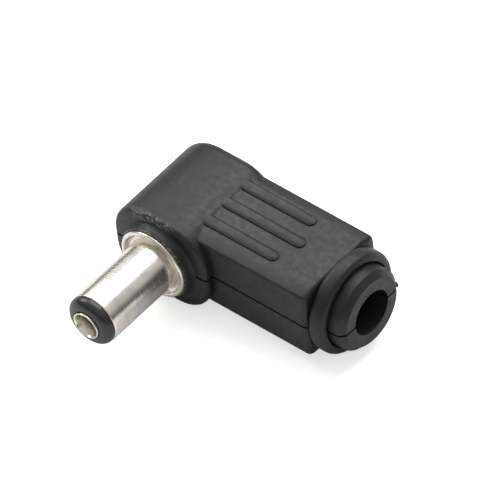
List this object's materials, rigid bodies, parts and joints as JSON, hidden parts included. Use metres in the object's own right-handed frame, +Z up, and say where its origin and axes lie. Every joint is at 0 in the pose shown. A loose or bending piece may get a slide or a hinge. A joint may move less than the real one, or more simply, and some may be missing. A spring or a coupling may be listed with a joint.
{
  "type": "dc barrel plug",
  "caption": "Right-angle DC barrel plug for soldering: nickel barrel and centre contact in a black two-part shell held by a slide-off ring.",
  "frame": {"origin": "on the barrel's axis, in the plane of the flange's front face", "axes": "-Y along the barrel to its tip, +X along the arm to the cable hole, +Z up, square to the parting plane"},
  "size_m": [0.0269, 0.0227, 0.0108],
  "materials": {
    "shell": "fine spark-eroded texture, black",
    "ring": "satin, black",
    "nickel": "bright nickel plate on turned brass",
    "contact": "bright nickel plate",
    "insulator": "glossy black",
    "washer": "cream moulded insulator",
    "tag": "plated stamped brass"
  },
  "bodies": {
    "plug": {"upper_shell": "shell", "lower_shell": "shell", "barrel_sleeve": "nickel", "tip_insulator": "insulator", "centre_contact": "contact", "washer_insulator": "washer", "sleeve_tag": "tag", "centre_tag": "tag"},
    "ring": {"retaining_ring": "ring"}
  },
  "joints": [
    {"name": "ring_slide", "type": "slide", "parent": "plug", "child": "ring", "axis": [1, 0, 0], "range_m": [0, 0.006]}
  ]
}
